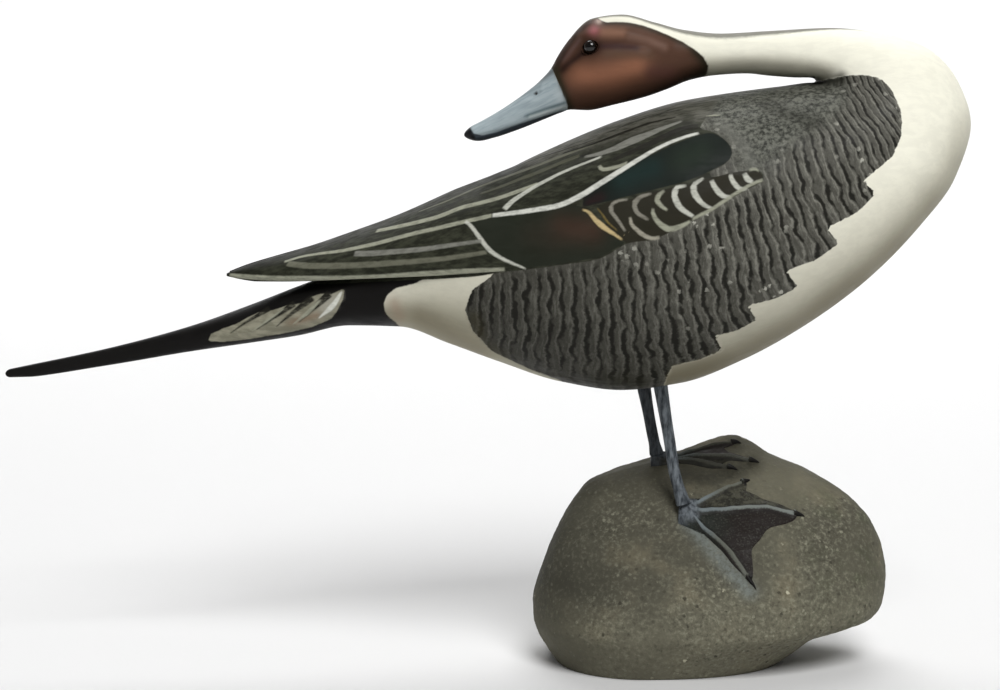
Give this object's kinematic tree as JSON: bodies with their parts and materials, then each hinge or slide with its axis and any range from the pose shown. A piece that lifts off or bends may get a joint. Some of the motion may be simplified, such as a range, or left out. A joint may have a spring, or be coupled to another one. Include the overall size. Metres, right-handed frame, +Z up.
{
  "type": "pintail carving",
  "caption": "Painted carved miniature of a drake pintail standing on wire legs on a rounded rock base, its neck folded back so that the bill points over the tail",
  "frame": {"origin": "on the flat underside of the rock base, under its broad part", "axes": "+X towards the breast, -X towards the tail pin, +Z up, +Y to the bird's left, away from the viewer of the picture"},
  "size_m": [0.1677, 0.0462, 0.1134],
  "materials": {
    "feather_paint": "hand-painted wood, satin, with plumage in grey, cream, black, brown and green",
    "eye_bead": "glossy dark bead",
    "leg_paint": "satin blue-grey paint on wire",
    "rock_paint": "matt stippled sandy grey-brown paint"
  },
  "bodies": {
    "root": {"bird": "feather_paint", "left_eye": "eye_bead", "right_eye": "eye_bead", "right_leg_and_foot": "leg_paint", "left_leg_and_foot": "leg_paint", "rock_base": "rock_paint"}
  },
  "joints": []
}
